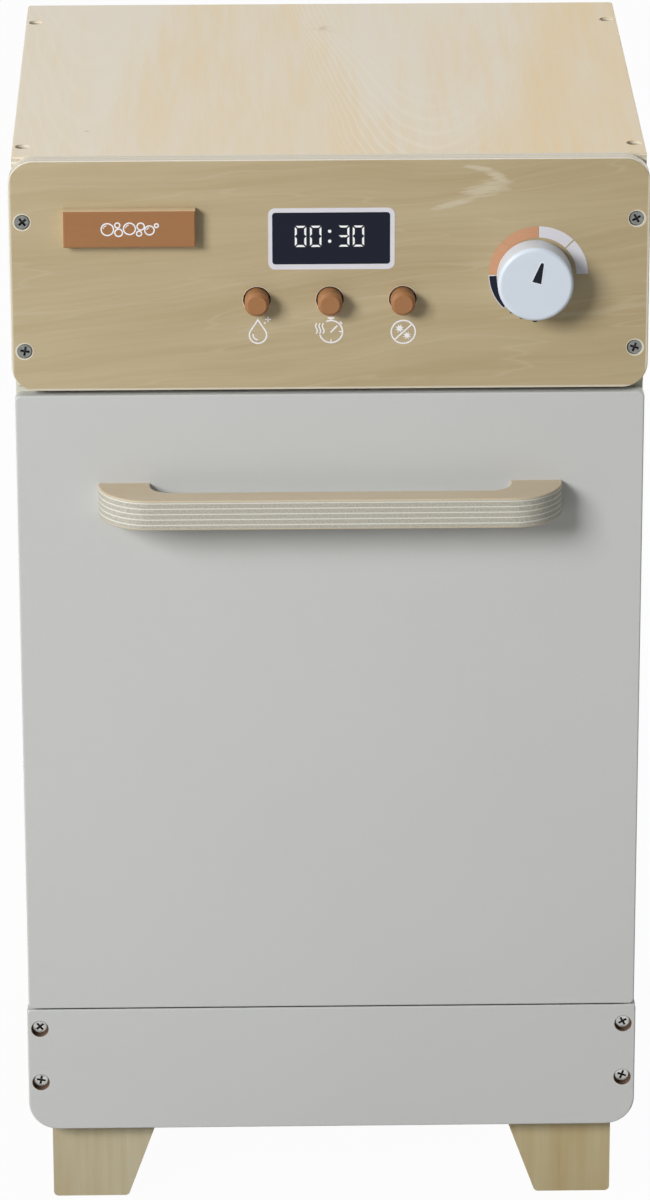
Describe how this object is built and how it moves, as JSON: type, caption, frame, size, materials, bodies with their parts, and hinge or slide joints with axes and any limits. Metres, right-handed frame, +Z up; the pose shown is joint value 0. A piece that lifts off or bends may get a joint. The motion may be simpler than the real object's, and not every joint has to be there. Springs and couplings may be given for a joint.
{
  "type": "wooden toy dishwasher",
  "caption": "Toy dishwasher for a wooden play kitchen: board cabinet on feet with a drop-down door, sliding racks, soap drawer, push buttons and a turning knob.",
  "frame": {"origin": "on the floor under the middle of the whole object, handle included", "axes": "+X to the right seen from the front, +Y from the front to the back, +Z up"},
  "size_m": [0.303, 0.3054, 0.545],
  "materials": {
    "birch_plywood": "clear matt lacquer on plywood",
    "handle_plywood": "clear matt lacquer, layered edge on show",
    "inner_plywood": "sanded plywood",
    "painted_board": "cream satin paint on fibreboard",
    "painted_front": "pale grey satin paint on fibreboard",
    "solid_wood": "sanded beech",
    "terracotta_paint": "terracotta satin paint on wood",
    "white_paint": "white satin paint on wood",
    "dark_screw": "dark plated steel",
    "zinc_steel": "zinc plated",
    "spring_steel": "drawn wire",
    "magnet": "nickel plated"
  },
  "bodies": {
    "cabinet": {"top_panel": "birch_plywood", "left_side_panel": "painted_board", "right_side_panel": "painted_board", "back_panel": "inner_plywood", "floor_panel": "inner_plywood", "tub_ceiling": "inner_plywood", "control_panel": "birch_plywood", "kick_plate": "painted_front", "front_left_foot": "solid_wood", "front_right_foot": "solid_wood", "rear_left_foot": "solid_wood", "rear_right_foot": "solid_wood", "left_hinge_bracket": "zinc_steel", "right_hinge_bracket": "zinc_steel", "lower_left_rail": "solid_wood", "lower_right_rail": "solid_wood", "upper_left_rail": "solid_wood", "upper_right_rail": "solid_wood", "cabinet_dowels": "solid_wood", "top_screws": "zinc_steel", "control_panel_screws": "dark_screw", "kick_plate_screws": "zinc_steel", "back_screws": "zinc_steel", "foot_screws": "zinc_steel", "hinge_screws": "zinc_steel", "door_magnets": "magnet", "button_guide": "inner_plywood", "soap_drawer_guide": "inner_plywood", "button_spring_1": "spring_steel", "button_spring_2": "spring_steel", "button_spring_3": "spring_steel"},
    "door": {"door_panel": "painted_front", "door_handle": "handle_plywood", "handle_screws": "zinc_steel", "hinge_pins": "zinc_steel", "catch_discs": "zinc_steel"},
    "lower_rack": {"lower_rack_base": "inner_plywood", "lower_rack_front": "inner_plywood", "lower_rack_back": "inner_plywood", "lower_rack_sides": "inner_plywood", "lower_rack_pegs": "solid_wood"},
    "upper_rack": {"upper_rack_base": "inner_plywood", "upper_rack_front": "inner_plywood", "upper_rack_back": "inner_plywood", "upper_rack_sides": "inner_plywood", "upper_rack_pegs": "solid_wood"},
    "soap_drawer": {"soap_drawer_front": "terracotta_paint", "soap_drawer_tray": "solid_wood"},
    "left_button": {"button_1": "terracotta_paint"},
    "middle_button": {"button_2": "terracotta_paint"},
    "right_button": {"button_3": "terracotta_paint"},
    "knob": {"knob": "white_paint", "knob_washer": "zinc_steel", "knob_screw": "zinc_steel"}
  },
  "joints": [
    {"name": "door_hinge", "type": "hinge", "parent": "cabinet", "child": "door", "pos_m": [0, -0.1222, 0.1121], "axis": [1, 0, 0], "range_deg": [0, 90]},
    {"name": "lower_rack_slide", "type": "slide", "parent": "cabinet", "child": "lower_rack", "axis": [0, -1, 0], "range_m": [0, 0.1]},
    {"name": "upper_rack_slide", "type": "slide", "parent": "cabinet", "child": "upper_rack", "axis": [0, -1, 0], "range_m": [0, 0.1]},
    {"name": "soap_drawer_slide", "type": "slide", "parent": "cabinet", "child": "soap_drawer", "axis": [0, -1, 0], "range_m": [0, 0.034]},
    {"name": "left_button_press", "type": "slide", "parent": "cabinet", "child": "left_button", "axis": [0, 1, 0], "range_m": [0, 0.004], "stiffness_N_per_m": 150, "springref_m": -0.004, "deforming": ["button_spring_1"]},
    {"name": "middle_button_press", "type": "slide", "parent": "cabinet", "child": "middle_button", "axis": [0, 1, 0], "range_m": [0, 0.004], "stiffness_N_per_m": 150, "springref_m": -0.004, "deforming": ["button_spring_2"]},
    {"name": "right_button_press", "type": "slide", "parent": "cabinet", "child": "right_button", "axis": [0, 1, 0], "range_m": [0, 0.004], "stiffness_N_per_m": 150, "springref_m": -0.004, "deforming": ["button_spring_3"]},
    {"name": "knob_turn", "type": "hinge", "parent": "cabinet", "child": "knob", "pos_m": [0.097, -0.1273, 0.4872], "axis": [0, -1, 0], "continuous": true}
  ],
  "couplings": [
    {"joint": "lower_rack_slide", "follows": "door_hinge", "m_per_rad": 0.063661},
    {"joint": "upper_rack_slide", "follows": "door_hinge", "m_per_rad": 0.063661}
  ]
}
